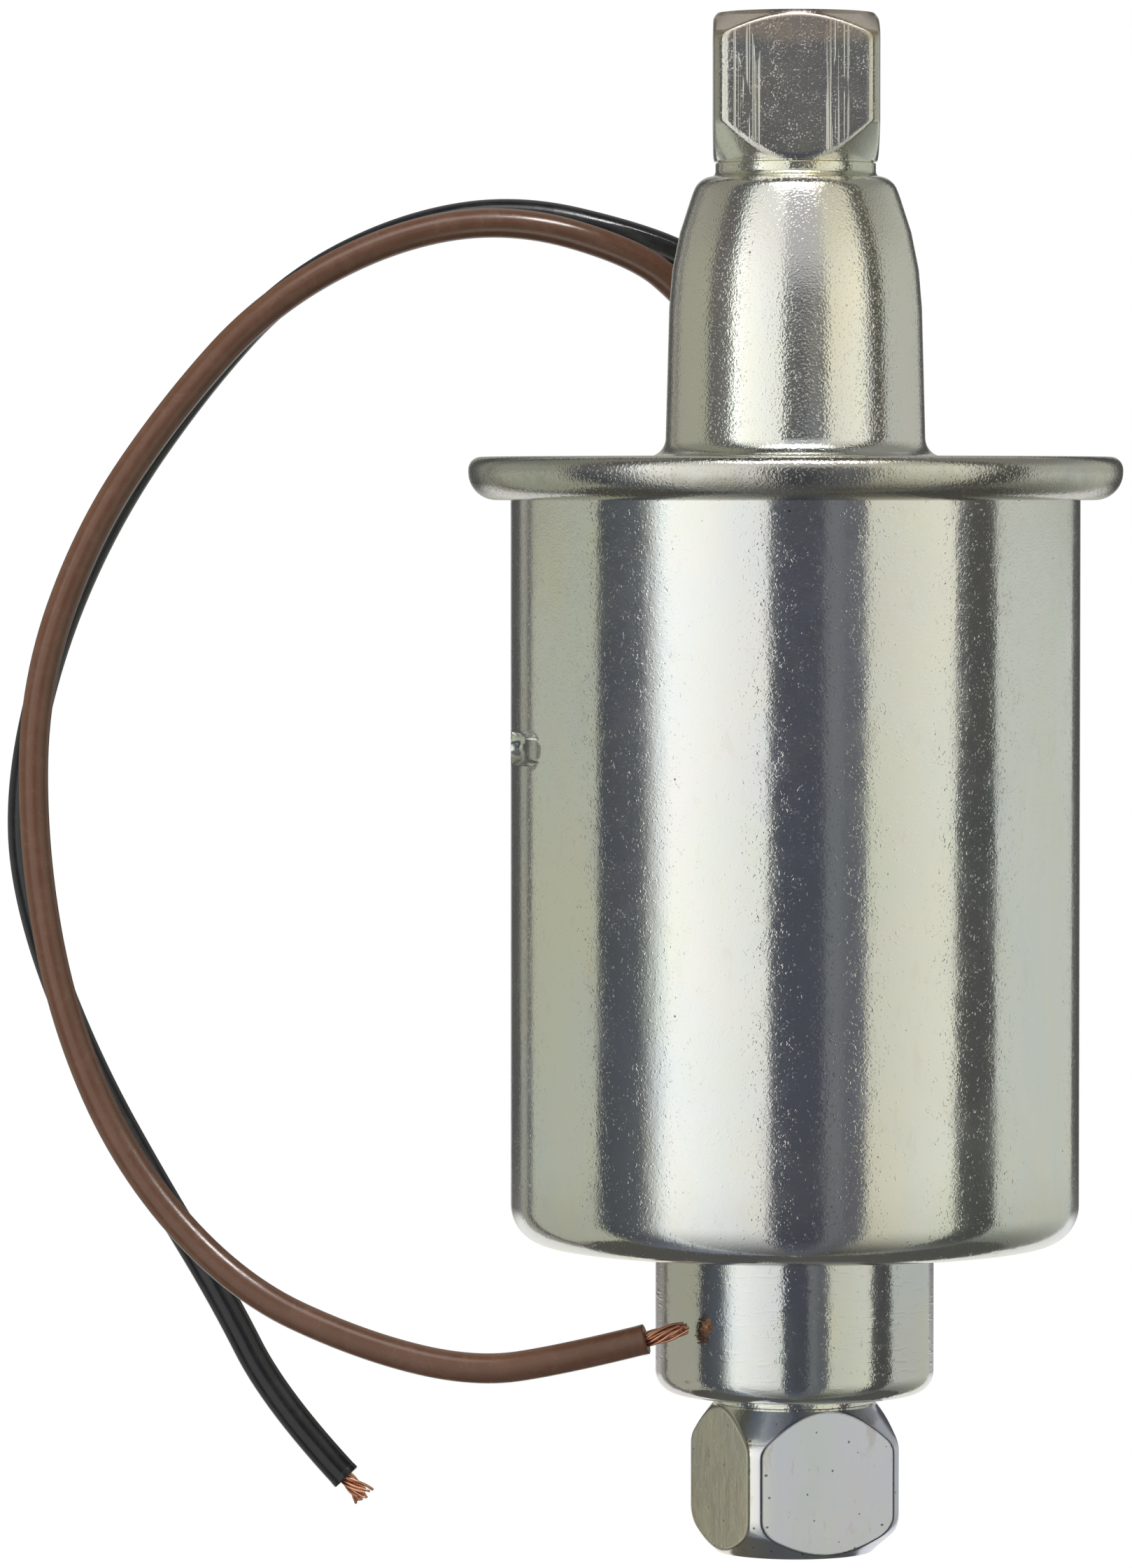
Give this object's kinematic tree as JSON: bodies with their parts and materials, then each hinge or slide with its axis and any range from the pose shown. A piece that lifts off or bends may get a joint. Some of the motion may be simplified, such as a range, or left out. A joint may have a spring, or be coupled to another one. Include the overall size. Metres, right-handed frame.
{
  "type": "electric fuel pump",
  "caption": "In-line electric fuel pump: round plated steel housing with rolled flange, bottle-shaped outlet neck, square port fittings and two bare-ended leads.",
  "frame": {"origin": "centre of the inlet port mouth, on the pump axis", "axes": "+Z along the pump axis from inlet to outlet, leads looped towards -X, pictured side towards -Y"},
  "size_m": [0.0974, 0.0568, 0.1335],
  "materials": {
    "plated_can": "bright zinc plated drawn steel, satin",
    "plated_cover": "zinc plated pressed steel, satin",
    "plated_cup": "zinc plated drawn steel, satin",
    "plated_inlet_fitting": "zinc plated turned steel, finely pitted",
    "plated_outlet_fitting": "zinc plated turned steel, scratched",
    "gasket": "matt",
    "nylon": "natural nylon",
    "screen_mesh": "fine stainless wire mesh",
    "magnet": "dark ferrite",
    "tube_brass": "drawn brass",
    "soft_iron": "blanked soft iron",
    "enamelled_copper": "enamelled copper wire",
    "coil_tape": "yellow insulating film",
    "valve_rubber": "black nitrile rubber",
    "spring_steel": "stainless spring wire",
    "plunger_steel": "ground steel",
    "sleeve_aluminium": "turned aluminium",
    "board_laminate": "brown laminate",
    "component_black": "moulded black epoxy",
    "component_tan": "tan lacquer",
    "component_blue": "blue sleeve",
    "solder": "bright solder",
    "grommet_rubber": "black rubber",
    "brown_insulation": "brown PVC, half gloss",
    "black_insulation": "black PVC, half gloss",
    "bare_copper": "bright bare copper strands"
  },
  "bodies": {
    "pump_body": {"base_gasket": "gasket", "board_posts": "nylon", "bumper_washer": "valve_rubber", "capacitor": "component_blue", "circuit_board": "board_laminate", "clamp_diode": "component_black", "coil_bobbin": "nylon", "coil_tails": "enamelled_copper", "coil_winding": "enamelled_copper", "coil_wrap": "coil_tape", "cover_gasket": "gasket", "housing_can": "plated_can", "inlet_cup": "plated_cup", "inlet_fitting": "plated_inlet_fitting", "inlet_valve_cage": "tube_brass", "inlet_valve_seat": "tube_brass", "inlet_valve_spring": "spring_steel", "insulating_disc": "coil_tape", "lead_black": "black_insulation", "lead_black_strands": "bare_copper", "lead_brown": "brown_insulation", "lead_brown_strands": "bare_copper", "lead_grommet": "grommet_rubber", "lead_tail_black": "black_insulation", "lead_tail_brown": "brown_insulation", "lower_pole_plate": "soft_iron", "outlet_fitting": "plated_outlet_fitting", "plunger_spring": "spring_steel", "plunger_tube": "tube_brass", "power_transistor": "component_black", "resistors": "component_tan", "solder_joints": "solder", "spacer_sleeve": "sleeve_aluminium", "stop_ring": "spring_steel", "strainer_frame": "nylon", "strainer_magnet": "magnet", "strainer_screen": "screen_mesh", "top_cover": "plated_cover", "tube_seal": "valve_rubber", "upper_pole_plate": "soft_iron"},
    "plunger_assembly": {"plunger": "plunger_steel", "outlet_valve_seat": "tube_brass", "outlet_valve_cage": "tube_brass", "outlet_valve_spring": "spring_steel"},
    "inlet_valve": {"inlet_valve_disc": "valve_rubber"},
    "outlet_valve": {"outlet_valve_disc": "valve_rubber"}
  },
  "joints": [
    {"name": "plunger_slide", "type": "slide", "parent": "pump_body", "child": "plunger_assembly", "axis": [0, 0, -1], "range_m": [0, 0.0045], "stiffness_N_per_m": 350, "springref_m": -0.003, "deforming": ["plunger_spring"]},
    {"name": "inlet_valve_lift", "type": "slide", "parent": "pump_body", "child": "inlet_valve", "axis": [0, 0, 1], "range_m": [0, 0.0012], "stiffness_N_per_m": 60, "springref_m": -0.001, "deforming": ["inlet_valve_spring"]},
    {"name": "outlet_valve_lift", "type": "slide", "parent": "plunger_assembly", "child": "outlet_valve", "axis": [0, 0, 1], "range_m": [0, 0.001], "stiffness_N_per_m": 60, "springref_m": -0.001, "deforming": ["outlet_valve_spring"]}
  ]
}
